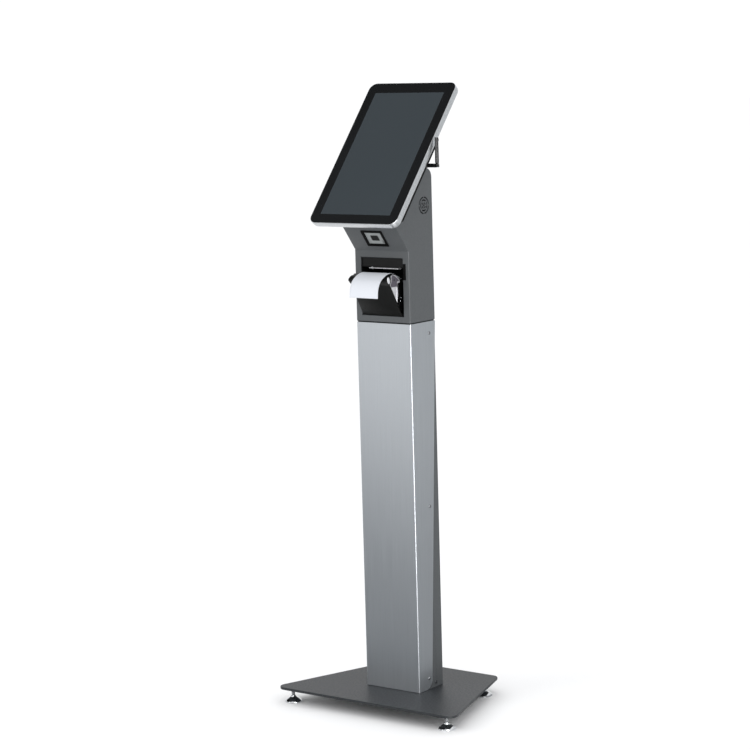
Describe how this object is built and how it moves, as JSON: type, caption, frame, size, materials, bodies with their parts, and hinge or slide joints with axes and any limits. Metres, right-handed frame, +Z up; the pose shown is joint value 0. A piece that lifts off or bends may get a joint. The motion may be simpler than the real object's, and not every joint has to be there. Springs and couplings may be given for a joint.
{
  "type": "touchscreen kiosk",
  "caption": "Floor-standing kiosk with a tilted portrait touchscreen, a code scanner, a receipt printer with its cover open, side loudspeakers and levelling feet.",
  "frame": {"origin": "on the floor, under the middle of the base plate", "axes": "+Z up, -Y the way the kiosk faces, +X to the right of someone who looks at its front"},
  "size_m": [0.4994, 0.344, 1.4376],
  "materials": {
    "powder_coat": "fine-textured grey powder coat",
    "brushed_silver": "satin silver",
    "anodised_silver": "anodised",
    "chrome": "polished",
    "steel": "ground",
    "black_plastic": "fine grain",
    "black_metal": "satin black",
    "pale_diffuser": "frosted",
    "cover_glass": "polished, black behind",
    "screen": "dark screen",
    "rubber": "ground",
    "grey_plastic": "moulded",
    "paper": "thermal paper",
    "cardboard": "plain",
    "circuit_board": "solder mask"
  },
  "bodies": {
    "stand": {"base_plate": "powder_coat", "column_channel": "powder_coat", "column_front_cover": "brushed_silver", "cover_screw_left_upper": "steel", "cover_screw_left_middle": "steel", "cover_screw_left_lower": "steel", "cover_screw_right_upper": "steel", "cover_screw_right_middle": "steel", "cover_screw_right_lower": "steel", "channel_screw_left": "black_metal", "channel_screw_right": "black_metal", "column_foot_flange": "powder_coat", "power_inlet": "black_plastic", "power_supply": "black_plastic", "head_joint_plate": "black_metal", "head_shell": "powder_coat", "speaker_left": "black_plastic", "speaker_right": "black_plastic", "rear_door_pin": "steel", "scanner_bezel": "black_plastic", "scanner_light_frame": "pale_diffuser", "scanner_window": "cover_glass", "scanner_module": "black_plastic", "printer_chassis": "black_metal", "printer_mechanism": "black_plastic", "print_head_bar": "steel", "tear_bar": "steel", "roll_spindle": "grey_plastic", "cover_hinge_pin": "steel", "display_glass": "cover_glass", "display_frame": "anodised_silver", "lcd_panel": "screen", "display_rear_cover": "black_metal", "computer_housing": "black_metal", "mainboard": "circuit_board", "display_mount_plate": "powder_coat"},
    "rear_door": {"rear_door": "powder_coat", "door_lock_barrel": "chrome"},
    "lock_cam": {"door_lock_cam": "steel"},
    "printer_cover": {"printer_cover": "black_plastic", "cover_striker_pin": "steel", "cover_side_plate_left": "steel", "cover_side_plate_right": "steel", "paper_web": "paper"},
    "platen": {"platen_roller": "rubber", "platen_gear": "grey_plastic"},
    "paper_roll": {"paper_roll": "paper", "roll_core": "cardboard"},
    "release_button": {"cover_release_button": "black_plastic"},
    "power_button": {"power_button": "steel"},
    "aerial_base": {"aerial_base": "black_plastic"},
    "aerial_rod": {"aerial_rod": "black_plastic"},
    "foot_front_left": {"foot_pad_front_left": "chrome", "foot_stem_front_left": "chrome"},
    "foot_front_right": {"foot_pad_front_right": "chrome", "foot_stem_front_right": "chrome"},
    "foot_rear_left": {"foot_pad_rear_left": "chrome", "foot_stem_rear_left": "chrome"},
    "foot_rear_right": {"foot_pad_rear_right": "chrome", "foot_stem_rear_right": "chrome"}
  },
  "joints": [
    {"name": "cover_open", "type": "hinge", "parent": "stand", "child": "printer_cover", "pos_m": [0, -0.0465, 0.918], "axis": [1, 0, 0], "range_deg": [-30, 0]},
    {"name": "platen_turn", "type": "hinge", "parent": "printer_cover", "child": "platen", "pos_m": [0, -0.074, 1], "axis": [1, 0, 0], "continuous": true},
    {"name": "roll_turn", "type": "hinge", "parent": "stand", "child": "paper_roll", "pos_m": [0, 0, 0.9545], "axis": [1, 0, 0], "continuous": true},
    {"name": "release_press", "type": "slide", "parent": "stand", "child": "release_button", "axis": [0, 1, 0], "range_m": [0, 0.003], "stiffness_N_per_m": 300, "springref_m": -0.002},
    {"name": "power_press", "type": "slide", "parent": "stand", "child": "power_button", "axis": [1, 0, 0], "range_m": [0, 0.0012], "stiffness_N_per_m": 800, "springref_m": -0.001},
    {"name": "door_open", "type": "hinge", "parent": "stand", "child": "rear_door", "pos_m": [-0.0655, 0.0506, 1.065], "axis": [0, 0, 1], "range_deg": [0, 110]},
    {"name": "lock_turn", "type": "hinge", "parent": "rear_door", "child": "lock_cam", "pos_m": [0.047, 0.047, 1.085], "axis": [0, 1, 0], "range_deg": [-90, 0]},
    {"name": "aerial_swivel", "type": "hinge", "parent": "stand", "child": "aerial_base", "pos_m": [0.13, -0.00678, 1.25473], "axis": [1, 0, 0], "range_deg": [-180, 180]},
    {"name": "aerial_elbow", "type": "hinge", "parent": "aerial_base", "child": "aerial_rod", "pos_m": [0.13, -0.00678, 1.25473], "axis": [0, 1, 0], "range_deg": [0, 90]},
    {"name": "level_front_left", "type": "slide", "parent": "stand", "child": "foot_front_left", "axis": [0, 0, 1], "range_m": [-0.003, 0]},
    {"name": "level_front_right", "type": "slide", "parent": "stand", "child": "foot_front_right", "axis": [0, 0, 1], "range_m": [-0.003, 0]},
    {"name": "level_rear_left", "type": "slide", "parent": "stand", "child": "foot_rear_left", "axis": [0, 0, 1], "range_m": [-0.003, 0]},
    {"name": "level_rear_right", "type": "slide", "parent": "stand", "child": "foot_rear_right", "axis": [0, 0, 1], "range_m": [-0.003, 0]}
  ]
}
